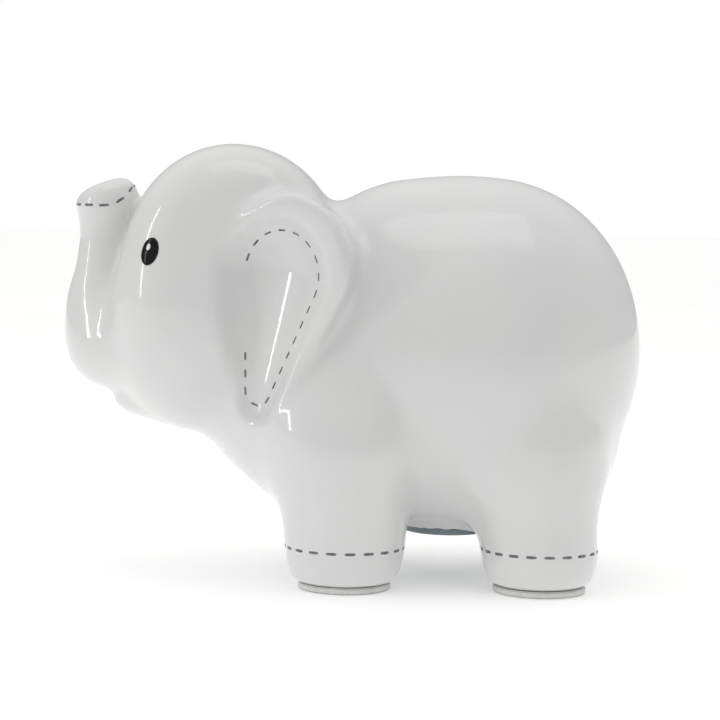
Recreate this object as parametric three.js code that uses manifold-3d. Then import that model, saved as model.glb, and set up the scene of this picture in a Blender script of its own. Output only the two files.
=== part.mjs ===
// Figural animal coin bank: a slip-cast ceramic elephant with a soft plug in its belly.
// Millimetres, +Z up. The trunk faces -X and the origin is on the floor under the middle of the length.
import * as THREE from "three";
import { mergeVertices } from "three/addons/utils/BufferGeometryUtils.js";
import Module from "manifold-3d";

const wasm = await Module();
wasm.setup();

// ---- Driving dimensions ----
const WALL = 4; // casting thickness
const PAD_HEIGHT = 2.5; // the feet stand on the pads, so they end at this height
const PAD_RADIUS = 16.6;
const FRONT_LEG_X = -0.7;
const REAR_LEG_X = 68.7;
const LEG_Y = 33;
const LEG_TOP_Z = 50; // where a leg's axis ends inside the body
const ANKLE_Z = 14;
const HOLE_X = 36; // centre of the belly hole, and of the coin slot above it
const HOLE_RADIUS = 13;
const SEAT_Z = 19.4; // flat face round the hole that the plug's flange closes on
const SEAT_RADIUS = 17.4;
const BOSS_RADIUS = 19;
const SLOT_LENGTH = 38;
const SLOT_WIDTH = 5;
const PLUG_RADIUS = 12.7; // 0.3 mm inside the hole
const PLUG_LENGTH = 12;
const PLUG_WALL = 2.7;
const FLANGE_RADIUS = 16;
const FLANGE_HEIGHT = 2.6;
const PULL_RADIUS = 10.5; // recess in the flange, with a bar across it to pull on
const PULL_DEPTH = 1.3;
const PULL_BAR = 3.4;
const ROUND_SEGMENTS = 48;

// Rounded masses of the animal: centre (x, z) on the middle plane, and radii along x, y and z. A power
// above 2 makes the sides stand more squarely.
const BODY = { x: 52, z: 84, radii: [53.5, 57, 62] };
const SHOULDER = { x: 28, z: 83, radii: [61.5, 53, 63.5] };
const CHEST = { x: -7.5, z: 61.5, radii: [37, 52, 40.5] };
const RUMP = { x: 60, z: 45, radii: [36, 50, 24] };
const THROAT = { x: -32, z: 61.5, radii: [21.5, 34, 21.5] };
const HEAD = { x: -43.5, z: 113.5, radii: [40, 38.5, 44], power: 3.5 };
const JAW = { x: -55.5, z: 87, radii: [33, 36, 34.5], power: 2.5 };
const SNOUT = { x: -88, z: 84.5, radii: [17, 19, 17] };
const LIP = { x: -72.5, z: 63, radii: [14, 12, 6] };

// Leg radii at the top and the ankle.
const FRONT_LEG = { x: FRONT_LEG_X, top: 25.5, ankle: 21 };
const REAR_LEG = { x: REAR_LEG_X, top: 18.5, ankle: 20.6 };

// The raised trunk: centre line in the middle plane, with its radius at each bend.
const TRUNK = [
  { x: -89.5, z: 93, radius: 16 },
  { x: -92, z: 100, radius: 11.5 },
  { x: -91, z: 128, radius: 8.5 },
  { x: -90.5, z: 135.5, radius: 11.5 },
];
const TRUNK_TIP_Z = 143.5; // height of the flat end on the trunk's axis
const TRUNK_TIP_TILT = 22; // degrees, the front edge lower

// The ear: a drop-shaped slab whose front edge is flush with the head and whose rear edge stands away
// from it. Its sides run straight in towards the neck, a little wider at the root.
const EAR = {
  centre: [-24.2, 47, 122.5], // origin of the ear's own plane, on its outer face
  yaw: 26, // degrees that the rear edge swings out
  lean: -5, // degrees that the plane turns in itself
  tilt: 3, // degrees that the top leans out
  thickness: 30,
  skew: -0.35, // how far the sides move to the rear per millimetre of depth
  fall: 0.28, // how far they move down per millimetre of depth
  draft: 0.08, // how much the outline grows per millimetre of depth
};
// Drops in the ear's plane: its rim and the hollow of its outer side. The hollow reaches past the rim
// in front, so the ear has no rim there.
const EAR_RIM = { centre: [2.9, -5.6], lean: -7.8, topRadius: 24, tipRadius: 9.3, length: 51.9 };
const EAR_HOLLOW = { centre: [-2.3, -10], lean: -5.1, topRadius: 20.4, tipRadius: 7.8, length: 46.2 };
const HOLLOW_DEPTH = 0.38; // depth on the hollow's middle line, as a part of its half width there
const HOLLOW_SLOPE = 0.12; // how much deeper the hollow lies towards the front, per millimetre across

// The rim's rounded edge: how far in from the outline and how deep each ring of points lies.
const RIM_SECTION = [
  { inset: 0, depth: EAR.thickness },
  { inset: 0, depth: 3.5 },
  { inset: 1.1, depth: 1.1 },
  { inset: 3.2, depth: 0 },
];

// How widely neighbouring masses melt into each other.
const BLEND = { body: 10, throat: 12, leg: 10, face: 16, neck: 9, snout: 10, trunk: 4, lip: 6 };

// Spacing of the sampling lines: each run is [end, step].
const OUTER_LINES = {
  x: ruler(-113, [-74, 5.6], [114, 8.5]),
  y: mirrored([15, 5], [67, 8.5]),
  z: ruler(-16, [122, 8.5], [150, 5.6], [165, 8]),
};
const CAVITY_LINES = {
  x: ruler(-113, [115, 11]),
  y: mirrored([66, 10.5]),
  z: ruler(-12, [166, 11]),
};

// ---- Distance formulas: negative inside, about the distance in millimetres outside ----
const degrees = THREE.MathUtils.degToRad;

function ellipsoid(p, { x, z, radii: [a, b, c], power = 2 }) {
  const round = Math.max(Math.hypot((p[0] - x) / a, (p[2] - z) / c), 1e-6);
  const side = Math.abs(p[1]) / b;
  const scaled = (round ** power + side ** power) ** (1 / power);
  const slopeRound = round ** (power - 2) * Math.hypot((p[0] - x) / a ** 2, (p[2] - z) / c ** 2);
  const slope = Math.hypot(slopeRound, side ** (power - 1) / b) * scaled ** (1 - power);
  return (scaled - 1) / Math.max(slope, 1e-4);
}

// Distance to the hull of two balls, worked out in the plane through their axis.
function roundCone(p, a, b, radiusA, radiusB) {
  const axis = new THREE.Vector3().subVectors(b, a);
  const length = axis.length();
  axis.divideScalar(length);
  const q = new THREE.Vector3(...p).sub(a);
  const along = q.dot(axis);
  const out = Math.sqrt(Math.max(q.lengthSq() - along * along, 0));
  const lean = (radiusA - radiusB) / length;
  if (lean >= 1) return q.length() - radiusA;
  if (lean <= -1) return q.distanceTo(axis.clone().multiplyScalar(length)) - radiusB;
  const rise = Math.sqrt(1 - lean * lean);
  const place = along * rise - out * lean;
  if (place < 0) return Math.hypot(out, along) - radiusA;
  if (place > rise * length) return Math.hypot(out, along - length) - radiusB;
  return out * rise + along * lean - radiusA;
}

// Union and intersection with a fillet of the given width.
function melt(a, b, width) {
  const h = Math.max(width - Math.abs(a - b), 0) / width;
  return Math.min(a, b) - (h * h * width) / 4;
}

function trim(a, b, width) {
  return -melt(-a, -b, width);
}

// ---- The animal's parts ----
function leg(p, { x, top, ankle }) {
  const topPoint = new THREE.Vector3(x, LEG_Y, LEG_TOP_Z);
  const anklePoint = new THREE.Vector3(x, LEG_Y, ANKLE_Z);
  return roundCone(p, topPoint, anklePoint, top, ankle);
}

function trunk(p) {
  const bends = TRUNK.map(({ x, z }) => new THREE.Vector3(x, 0, z));
  const piece = (i) => roundCone(p, bends[i], bends[i + 1], TRUNK[i].radius, TRUNK[i + 1].radius);
  const whole = melt(melt(piece(0), piece(1), 5), piece(2), 4);
  const tilt = degrees(TRUNK_TIP_TILT);
  const end = -(p[0] - TRUNK[3].x) * Math.sin(tilt) + (p[2] - TRUNK_TIP_Z) * Math.cos(tilt);
  return trim(whole, end, 5);
}

// The ear's own axes: u to the rear, v up and w out of its face.
function earAxes() {
  const yaw = degrees(EAR.yaw);
  const u = new THREE.Vector3(Math.cos(yaw), Math.sin(yaw), 0);
  const w = new THREE.Vector3(-Math.sin(yaw), Math.cos(yaw), 0);
  const v = new THREE.Vector3(0, 0, 1);
  const tilt = degrees(EAR.tilt);
  v.applyAxisAngle(u, -tilt);
  w.applyAxisAngle(u, -tilt);
  const lean = degrees(EAR.lean);
  u.applyAxisAngle(w, -lean);
  v.applyAxisAngle(w, -lean);
  return { u, v, w };
}

const EAR_AXES = earAxes();

// Points round an upright drop, as [across, up]: a large round end at the origin and a small one below.
function dropOutline(topRadius, tipRadius, length) {
  const side = Math.acos(-(topRadius - tipRadius) / length); // where an arc hands over to the straight side
  const arc = (from, to, step, radius, height) =>
    ruler(from, [to, step]).map((a) => [radius * Math.sin(a), radius * Math.cos(a) + height]);
  const top = arc(-side, side, side / 9, topRadius, 0);
  const tip = arc(side, 2 * Math.PI - side, (Math.PI - side) / 3, tipRadius, -length);
  return [...top, ...between(top.at(-1), tip[0]), ...tip, ...between(tip.at(-1), top[0])];
}

function between(a, b) {
  return [1 / 3, 2 / 3].map((t) => [a[0] + (b[0] - a[0]) * t, a[1] + (b[1] - a[1]) * t]);
}

// A point of the ear on the left (side -1) or the right (side 1). It is given across and up a leaning
// drop, and by its depth behind the rim.
function earPoint(side, { centre, lean }, [across, up], depth, skew = 0, fall = 0) {
  const turn = degrees(lean);
  const u = centre[0] + across * Math.cos(turn) - up * Math.sin(turn) + depth * skew;
  const v = centre[1] + across * Math.sin(turn) + up * Math.cos(turn) - depth * fall;
  const at = new THREE.Vector3(...EAR.centre);
  at.addScaledVector(EAR_AXES.u, u).addScaledVector(EAR_AXES.v, v).addScaledVector(EAR_AXES.w, -depth);
  return [at.x, side * at.y, at.z];
}

// A closed body from rings of points round a drop. Each end closes on three points down its middle.
function loft(rings, firstMiddles, lastMiddles, side) {
  const count = rings[0].length;
  const positions = [...rings.flat(2), ...firstMiddles.flat(), ...lastMiddles.flat()];
  const faces = [];
  for (let ring = 0; ring < rings.length - 1; ring++)
    for (let i = 0; i < count; i++) {
      const [a, b] = [ring * count + i, ring * count + ((i + 1) % count)];
      faces.push(a, a + count, b, b, a + count, b + count);
    }
  const middles = rings.length * count;
  const heights = dropOutline(1, 0.5, 2).map(([, up]) => up);
  const nearest = heights.map((up) => (up > -0.5 ? 0 : up > -1.5 ? 1 : 2));
  for (const [ring, centre, flip] of [[0, middles, true], [rings.length - 1, middles + 3, false]])
    for (let i = 0; i < count; i++) {
      const next = (i + 1) % count;
      const [a, b] = flip ? [next, i] : [i, next];
      const [near, far] = [centre + nearest[a], centre + nearest[b]];
      faces.push(ring * count + a, near, ring * count + b);
      if (near !== far) faces.push(ring * count + b, near, far);
    }
  if (side > 0) faces.reverse();
  const geometry = new THREE.BufferGeometry();
  geometry.setAttribute("position", new THREE.Float32BufferAttribute(positions, 3));
  geometry.setIndex(faces);
  return solid(geometry);
}

function earSlab(side) {
  const { topRadius, tipRadius, length } = EAR_RIM;
  const rings = RIM_SECTION.map(({ inset, depth }) => {
    const grow = depth * EAR.draft - inset;
    const outline = dropOutline(topRadius + grow, tipRadius + grow, length);
    return outline.map((point) => earPoint(side, EAR_RIM, point, depth, EAR.skew, EAR.fall));
  });
  const middles = (depth) =>
    [0, -length / 2, -length].map((up) => earPoint(side, EAR_RIM, [0, up], depth, EAR.skew, EAR.fall));
  return loft(rings, middles(EAR.thickness), middles(0), side);
}

// The hollow's floor: steep at its edge, and even near its middle line.
function hollowDepth([across, up], inwards) {
  const partDown = THREE.MathUtils.clamp(-up / EAR_HOLLOW.length, 0, 1);
  const halfWidth = THREE.MathUtils.lerp(EAR_HOLLOW.topRadius, EAR_HOLLOW.tipRadius, partDown);
  return (HOLLOW_DEPTH * halfWidth - HOLLOW_SLOPE * across) * (1 - (1 - inwards) ** 2.5);
}

// The body that hollows out the ear, or with grow the room that the casting keeps behind it.
function earHollow(side, grow = 0) {
  const { topRadius, tipRadius, length } = EAR_HOLLOW;
  const ring = (inwards, depthOf) =>
    dropOutline((topRadius + grow) * (1 - inwards), (tipRadius + grow) * (1 - inwards), length).map(
      (point) => earPoint(side, EAR_HOLLOW, point, depthOf(point)),
    );
  const floorAt = (inwards) => (point) => hollowDepth(point, inwards) + grow;
  const above = -12;
  const rings = [0.95, 0.7, 0.45, 0.2, 0].map((inwards) => ring(inwards, floorAt(inwards)));
  rings.push(ring(0, () => above));
  const middles = (depthOf) =>
    [0, -length / 2, -length].map((up) => earPoint(side, EAR_HOLLOW, [0, up], depthOf([0, up])));
  return loft(rings, middles(floorAt(1)), middles(() => above), side);
}

// Body, head and legs, which are hollow inside.
function hollowPart(p) {
  const side = [p[0], Math.abs(p[1]), p[2]];
  let d = melt(ellipsoid(p, BODY), ellipsoid(p, SHOULDER), BLEND.body);
  d = melt(d, ellipsoid(p, CHEST), BLEND.body);
  d = melt(d, ellipsoid(p, RUMP), BLEND.body);
  d = melt(d, ellipsoid(p, THROAT), BLEND.throat);
  d = melt(d, leg(side, FRONT_LEG), BLEND.leg);
  d = melt(d, leg(side, REAR_LEG), BLEND.leg);
  const face = melt(ellipsoid(p, HEAD), ellipsoid(p, JAW), BLEND.face);
  return melt(d, face, BLEND.neck);
}

// The whole outside except the ears.
function elephant(p) {
  let d = melt(hollowPart(p), ellipsoid(p, SNOUT), BLEND.snout);
  d = melt(d, trunk(p), BLEND.trunk);
  return melt(d, ellipsoid(p, LIP), BLEND.lip);
}

// The inner surface lies one wall behind the outer one, and ends above the soles.
function cavity(p) {
  return trim(hollowPart(p) + WALL, PAD_HEIGHT + WALL - p[2], 4);
}

// ---- Turning a distance formula into a closed surface ----
function ruler(start, ...runs) {
  const lines = [start];
  for (const [end, step] of runs) {
    const from = lines.at(-1);
    const count = Math.max(1, Math.round((end - from) / step));
    for (let i = 1; i <= count; i++) lines.push(from + ((end - from) * i) / count);
  }
  return lines;
}

function mirrored(...runs) {
  const half = ruler(0, ...runs);
  return [...half.slice(1).reverse().map((y) => -y), ...half];
}

function slopeOf(formula, p) {
  const step = 0.05;
  return [0, 1, 2].map((axis) => {
    const ahead = [...p];
    const behind = [...p];
    ahead[axis] += step;
    behind[axis] -= step;
    return (formula(ahead) - formula(behind)) / (2 * step);
  });
}

// Moves a point along the formula's slope onto the surface, in short steps so that it keeps its cell.
function settle(formula, p) {
  const longest = 0.6;
  for (let round = 0; round < 4; round++) {
    const slope = slopeOf(formula, p);
    const steepness = slope[0] ** 2 + slope[1] ** 2 + slope[2] ** 2;
    const move = THREE.MathUtils.clamp(formula(p) / Math.max(steepness, 0.2), -longest, longest);
    p = p.map((value, axis) => value - slope[axis] * move);
  }
  return p;
}

// A grid face whose opposite corners agree and whose neighbours don't would join the surface to itself
// along an edge. Its corner nearest to the surface changes sides instead.
function clearDoubtfulFaces(value, [nx, ny, nz], at) {
  const limits = [nx, ny, nz];
  for (let round = 0, changed = true; changed && round < 20; round++) {
    changed = false;
    for (let i = 0; i < nx; i++)
      for (let j = 0; j < ny; j++)
        for (let k = 0; k < nz; k++)
          for (let axis = 0; axis < 3; axis++) {
            const [s, t] = [(axis + 1) % 3, (axis + 2) % 3];
            const cell = [i, j, k];
            if (cell[s] + 1 >= limits[s] || cell[t] + 1 >= limits[t]) continue;
            const corners = [[0, 0], [1, 0], [1, 1], [0, 1]].map(([ds, dt]) => {
              const corner = [...cell];
              corner[s] += ds;
              corner[t] += dt;
              return at(...corner);
            });
            const inside = corners.map((c) => value[c] < 0);
            if (inside[0] !== inside[2] || inside[1] !== inside[3] || inside[0] === inside[1]) continue;
            const nearest = corners.reduce((a, b) => (Math.abs(value[a]) <= Math.abs(value[b]) ? a : b));
            value[nearest] = value[nearest] < 0 ? 0.01 : -0.01;
            changed = true;
          }
  }
}

// One vertex per grid cell that the surface crosses, and one quad per grid edge that it crosses.
function surfaceOf(formula, lines) {
  const axes = [lines.x, lines.y, lines.z];
  const [nx, ny, nz] = axes.map((axis) => axis.length);
  const at = (i, j, k) => (i * ny + j) * nz + k;
  const pointAt = (i, j, k) => [axes[0][i], axes[1][j], axes[2][k]];
  const value = new Float64Array(nx * ny * nz);
  for (let i = 0; i < nx; i++)
    for (let j = 0; j < ny; j++)
      for (let k = 0; k < nz; k++) value[at(i, j, k)] = formula(pointAt(i, j, k));
  clearDoubtfulFaces(value, [nx, ny, nz], at);

  const corners = [0, 1, 2, 3, 4, 5, 6, 7].map((c) => [c & 1, (c >> 1) & 1, c >> 2]);
  const vertexOf = new Map();
  const positions = [];
  function crossings(i, j, k) {
    const found = [];
    for (const corner of corners)
      for (let axis = 0; axis < 3; axis++) {
        if (corner[axis]) continue;
        const next = corner.map((step, a) => (a === axis ? 1 : step));
        const from = [i + corner[0], j + corner[1], k + corner[2]];
        const to = [i + next[0], j + next[1], k + next[2]];
        const before = value[at(...from)];
        const after = value[at(...to)];
        if (before < 0 === after < 0) continue;
        const t = before / (before - after);
        const a = pointAt(...from);
        const b = pointAt(...to);
        found.push(a.map((v, n) => v + (b[n] - v) * t));
      }
    return found;
  }
  for (let i = 0; i < nx - 1; i++)
    for (let j = 0; j < ny - 1; j++)
      for (let k = 0; k < nz - 1; k++) {
        const found = crossings(i, j, k);
        if (!found.length) continue;
        const middle = [0, 1, 2].map((n) => found.reduce((sum, p) => sum + p[n], 0) / found.length);
        vertexOf.set(at(i, j, k), positions.length / 3);
        positions.push(...settle(formula, middle));
      }

  const faces = [];
  const place = (n) => new THREE.Vector3().fromArray(positions, 3 * n);
  // Splits a quad along its shorter diagonal.
  function addQuad([a, b, c, d]) {
    const first = place(a).distanceTo(place(c)) <= place(b).distanceTo(place(d));
    faces.push(...(first ? [a, b, c, a, c, d] : [a, b, d, b, c, d]));
  }
  for (let i = 1; i < nx - 1; i++)
    for (let j = 1; j < ny - 1; j++)
      for (let k = 1; k < nz - 1; k++)
        for (let axis = 0; axis < 3; axis++) {
          const next = [i, j, k];
          next[axis] += 1;
          const inside = value[at(i, j, k)] < 0;
          if (inside === value[at(...next)] < 0) continue;
          const [s, t] = [(axis + 1) % 3, (axis + 2) % 3];
          const round = [[1, 1], [0, 1], [0, 0], [1, 0]].map(([ds, dt]) => {
            const cell = [i, j, k];
            cell[s] -= ds;
            cell[t] -= dt;
            return vertexOf.get(at(...cell));
          });
          addQuad(inside ? round : round.reverse());
        }
  const geometry = new THREE.BufferGeometry();
  geometry.setAttribute("position", new THREE.Float32BufferAttribute(positions, 3));
  geometry.setIndex(faces);
  return geometry;
}

// ---- Joining and cutting ----
function solid(geometry) {
  const bare = geometry.clone();
  bare.deleteAttribute("normal");
  bare.deleteAttribute("uv");
  const merged = mergeVertices(bare, 1e-4);
  return new wasm.Manifold(
    new wasm.Mesh({
      numProp: 3,
      vertProperties: new Float32Array(merged.attributes.position.array),
      triVerts: new Uint32Array(merged.index.array),
    }),
  );
}

function geometryOf(manifold) {
  const mesh = manifold.getMesh();
  const geometry = new THREE.BufferGeometry();
  geometry.setAttribute("position", new THREE.BufferAttribute(mesh.vertProperties, 3));
  geometry.setIndex(new THREE.BufferAttribute(mesh.triVerts, 1));
  geometry.computeVertexNormals();
  return geometry;
}

// A turned piece standing on the origin: its outline is a list of [radius, height].
function turned(outline, segments = ROUND_SEGMENTS) {
  const points = outline.map(([radius, height]) => new THREE.Vector2(radius, height));
  return new THREE.LatheGeometry(points, segments).rotateX(Math.PI / 2);
}

function cylinder(radius, bottom, top, x) {
  const outline = [[0, bottom], [radius, bottom], [radius, top], [0, top]];
  return solid(turned(outline).translate(x, 0, 0));
}

function box(width, depth, height, x, y, z) {
  return solid(new THREE.BoxGeometry(width, depth, height).translate(x, y, z));
}

// ---- The ceramic shell ----
function slotCutter() {
  const half = SLOT_LENGTH / 2 - SLOT_WIDTH / 2;
  const outline = new THREE.Shape();
  outline.absarc(half, 0, SLOT_WIDTH / 2, -Math.PI / 2, Math.PI / 2);
  outline.absarc(-half, 0, SLOT_WIDTH / 2, Math.PI / 2, (3 * Math.PI) / 2);
  const cutter = new THREE.ExtrudeGeometry(outline, { depth: 40, bevelEnabled: false, curveSegments: 8 });
  return solid(cutter.translate(HOLE_X, 0, 125));
}

function inside() {
  return solid(surfaceOf(cavity, CAVITY_LINES))
    .subtract(earHollow(-1, WALL))
    .subtract(earHollow(1, WALL));
}

function ceramicShell() {
  const floorCut = box(260, 160, 40, 0, 0, PAD_HEIGHT - 20);
  const boss = cylinder(BOSS_RADIUS, SEAT_Z, SEAT_Z + 6, HOLE_X);
  const seatCut = cylinder(SEAT_RADIUS, 8, SEAT_Z, HOLE_X);
  const hole = cylinder(HOLE_RADIUS, 8, SEAT_Z + 20, HOLE_X);
  const shell = solid(surfaceOf(elephant, OUTER_LINES))
    .add(boss)
    .add(earSlab(-1))
    .add(earSlab(1))
    .subtract(earHollow(-1))
    .subtract(earHollow(1))
    .subtract(inside())
    .subtract(floorCut)
    .subtract(seatCut)
    .subtract(hole)
    .subtract(slotCutter());
  return geometryOf(shell);
}

// ---- The belly plug: a cup that grips the hole, and a flange with a bar to pull on ----
function bellyPlug() {
  const bottom = SEAT_Z - FLANGE_HEIGHT;
  const top = SEAT_Z + PLUG_LENGTH;
  const outline = [
    [0, bottom],
    [FLANGE_RADIUS - 0.8, bottom],
    [FLANGE_RADIUS, bottom + 0.8],
    [FLANGE_RADIUS, SEAT_Z],
    [PLUG_RADIUS, SEAT_Z],
    [PLUG_RADIUS, top - 1.5],
    [PLUG_RADIUS - 1, top],
    [PLUG_RADIUS - PLUG_WALL, top],
    [PLUG_RADIUS - PLUG_WALL, SEAT_Z + 2.2],
    [0, SEAT_Z + 2.2],
  ];
  const plug = solid(turned(outline).translate(HOLE_X, 0, 0));
  const recess = cylinder(PULL_RADIUS, bottom - 1, bottom + PULL_DEPTH, HOLE_X);
  const bar = box(2 * PULL_RADIUS + 2, PULL_BAR, 2 * FLANGE_HEIGHT, HOLE_X, 0, bottom);
  return geometryOf(plug.subtract(recess.subtract(bar)));
}

function footPad() {
  const edge = 0.5;
  return turned([
    [0, 0],
    [PAD_RADIUS - edge, 0],
    [PAD_RADIUS, edge],
    [PAD_RADIUS, PAD_HEIGHT],
    [0, PAD_HEIGHT],
  ]);
}

// ---- The scene graph ----
const glaze = new THREE.MeshStandardMaterial({ color: 0xe9e8e4, roughness: 0.12, metalness: 0 });
const softPlastic = new THREE.MeshStandardMaterial({ color: 0x8d979e, roughness: 0.6, metalness: 0 });
const padFoam = new THREE.MeshStandardMaterial({ color: 0xc9c9c6, roughness: 0.9, metalness: 0 });

function piece(name, geometry, material) {
  const mesh = new THREE.Mesh(geometry, material);
  mesh.name = name;
  return mesh;
}

const bank = new THREE.Group();
bank.add(piece("ceramic_shell", ceramicShell(), glaze));
bank.add(piece("belly_stopper", bellyPlug(), softPlastic));
for (const [end, x] of [["front", FRONT_LEG_X], ["rear", REAR_LEG_X]])
  for (const [side, y] of [["left", -LEG_Y], ["right", LEG_Y]]) {
    const pad = piece(`foot_pad_${end}_${side}`, footPad(), padFoam);
    pad.position.set(x, y, 0);
    bank.add(pad);
  }

export default bank;
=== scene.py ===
"""Looks of a white glazed ceramic elephant coin bank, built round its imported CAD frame.

The casting is one closed surface of rounded masses that melt into each other. It is given as a distance
formula in millimetres, negative inside, sampled on a grid and laid as a smooth mesh. The paint, the soft
plug in the belly and the foot pads are pieces of their own.
"""

import math

import bpy
import numpy as np
from mathutils import Matrix, Vector


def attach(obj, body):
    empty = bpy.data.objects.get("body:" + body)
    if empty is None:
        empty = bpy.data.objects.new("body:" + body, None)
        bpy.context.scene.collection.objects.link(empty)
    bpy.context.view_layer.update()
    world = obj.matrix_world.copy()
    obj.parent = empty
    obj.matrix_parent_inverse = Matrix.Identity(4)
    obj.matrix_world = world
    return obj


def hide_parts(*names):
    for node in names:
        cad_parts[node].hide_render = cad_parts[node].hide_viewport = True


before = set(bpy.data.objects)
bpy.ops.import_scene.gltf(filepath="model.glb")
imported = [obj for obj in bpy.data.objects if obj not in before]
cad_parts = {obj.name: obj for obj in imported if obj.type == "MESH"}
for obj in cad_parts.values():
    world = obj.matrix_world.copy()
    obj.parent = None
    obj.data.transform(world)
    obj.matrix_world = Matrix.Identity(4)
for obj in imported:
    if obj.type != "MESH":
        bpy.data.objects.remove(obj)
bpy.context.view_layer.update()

MM = 0.001

# ---- Sizes, in millimetres ----
WALL = 4.0
PAD_HEIGHT = 2.5
LEG_Y = 33.0
HOLE_X = 36.0
HOLE_RADIUS = 13.0
SEAT_Z = 19.4
SEAT_RADIUS = 17.4
BOSS_RADIUS = 19.0
BOSS_HALF = 3.0
HOLE_DEPTH = 20.0
SLOT_LENGTH = 38.0
SLOT_WIDTH = 5.0
SLOT_BOTTOM_Z = 110.0
BOX_LOW = (-110, -64, -2)
BOX_HIGH = (110, 64, 162)

PAD_RADIUS = 16.6
PLUG_RADIUS = 12.7
PLUG_LENGTH = 12.0
PLUG_WALL = 2.7
FLANGE_RADIUS = 16.0
FLANGE_HEIGHT = 2.6
PULL_RADIUS = 10.5
PULL_DEPTH = 1.3
PULL_BAR = 3.4
RIB_HEIGHT = 0.22
RIB_PITCH = 3.2
CUP_FLOOR = 2.2
LEAD_IN = {"length": 2.0, "depth": 1.2}
PAD_BULGE = 0.35

# Rounded masses: centre, radii, and for the head and jaw how squarely their sides stand.
BODY = ((52, 0, 84), (53.5, 57, 62))
SHOULDER = ((28, 0, 83), (61.5, 53, 63.5))
CHEST = ((-7.5, 0, 61.5), (37, 52, 40.5))
RUMP = ((60, 0, 45), (36, 50, 24))
THROAT = ((-32, 0, 61.5), (21.5, 34, 21.5))
HEAD = ((-43.5, 0, 113.5), (40, 38.5, 44), 3.5)
JAW = ((-55.5, 0, 87), (33, 36, 34.5), 2.5)
SNOUT = ((-88, 0, 84.5), (17, 19, 17))
LIP = ((-72.5, 0, 63), (14, 12, 6))

LEG_TOP_Z = 50.0
ANKLE_Z = 14.0
FRONT_LEG = {"x": -0.7, "top": 25.5, "ankle": 21.0}
REAR_LEG = {"x": 68.7, "top": 18.5, "ankle": 20.6}
SOLE_ROUND = 3.0

TRUNK = [((-89.5, 0, 93), 16.0), ((-92, 0, 100), 11.5), ((-91, 0, 128), 8.5), ((-90.5, 0, 135.5), 11.5)]
TRUNK_TIP = {"x": -90.5, "z": 143.5, "tilt": 22.0}

# Widths of the fillets where the masses melt together, and of the rounded edges.
FILLET = {
    "body": 10,
    "throat": 12,
    "front_leg": 10,
    "rear_leg": 15,
    "jaw": 16,
    "head": 9,
    "snout": 10,
    "trunk_foot": 5,
    "trunk_bend": 4,
    "trunk": 4,
    "lip": 6,
    "ear": 6,
    "boss": 3,
}
EDGE = {
    "trunk_end": 5,
    "hollow": 3,
    "hollow_floor": 3,
    "cavity_floor": 4,
    "seat": 0.6,
    "hole": 0.8,
    "slot": 2.2,
}

# The ear is a drop-shaped slab. Its front edge is flush with the head and its rear edge stands away. Its
# sides run in towards the neck, a little wider and lower at the root so that the mould can draw off.
EAR = {
    "centre": (-24.2, 47.0, 122.5),
    "yaw": 26.0,
    "lean": -5.0,
    "tilt": 3.0,
    "thickness": 30.0,
    "skew": -0.35,
    "fall": 0.28,
    "draft": 0.08,
    "edge_round": 4.0,
}
# Drops in the ear's plane: its rim, the hollow of its outer side and the line that the dashes follow.
# The hollow reaches past the rim in front, so the ear has no rim there.
EAR_RIM = {"centre": (2.9, -5.6), "lean": -7.8, "top_radius": 24.0, "tip_radius": 9.3, "length": 51.9}
EAR_HOLLOW = {"centre": (-2.3, -10.0), "lean": -5.1, "top_radius": 20.4, "tip_radius": 7.8, "length": 46.2}
EAR_DASHES = {"centre": (-1.2, -11.2), "lean": -7.8, "top_radius": 15.5, "tip_radius": 4.9, "length": 42.7}
HOLLOW_DEPTH = 0.38  # depth of the hollow on its middle line, as a part of its half width there
HOLLOW_SLOPE = 0.12  # how much deeper the hollow lies towards the front, per millimetre across
HOLLOW_STEEPNESS = 2.5  # above 1, the hollow falls off more steeply at its edge

# Painted marks. A dash is placed by its line; the eye by its middle on the casting.
# A mark's size is its half length, its half width and its height.
EAR_DASH = (1.5, 0.35, 0.16)
EAR_DASH_COUNT = 20
EAR_DASH_START = 0.05  # where the first dash lies, as a part of the whole line
EAR_DASH_CLOSE = 0.3  # how much of the straight front edge the line covers, from below
ANKLE_DASH = (1.9, 0.5, 0.16)
ANKLE_DASH_COUNT = 20
ANKLE_DASH_TURN = 0.35  # how far the dashes are turned round the leg, in dashes
ANKLE_DASH_Z = 15.3
TRUNK_DASH = (1.9, 0.45, 0.16)
TRUNK_DASH_COUNT = 12
TRUNK_DASH_Z = 134.5
TRUNK_DASH_RISE = 9.0
TRUNK_DASH_BEND = 2.2  # above 1, the line stays level for longer before it rises
# The small white mark above each eye's middle is a painted highlight: a reflection of light put on as
# white paint.
EYE = {
    "x": -71.1,
    "y": 35.1,
    "z": 118.7,
    "size": (5.0, 3.4, 0.5),
    "highlight_size": (1.45, 0.95, 0.72),
    "highlight_up": 1.6,
    "highlight_forward": -0.9,
    "lean": 15.0,
}
PAINT_ROOT = 0.35  # how far the marks reach into the glaze
PAINT_DOME = 0.85  # 0 leaves a mark flat on top, and 1 brings it down to the glaze at its rim
GLAZE_DEPTH = 1.2  # how far the glaze reaches into openings
SOLE_MARGIN = 0.3  # how far the bare soles reach up their edge

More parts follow.
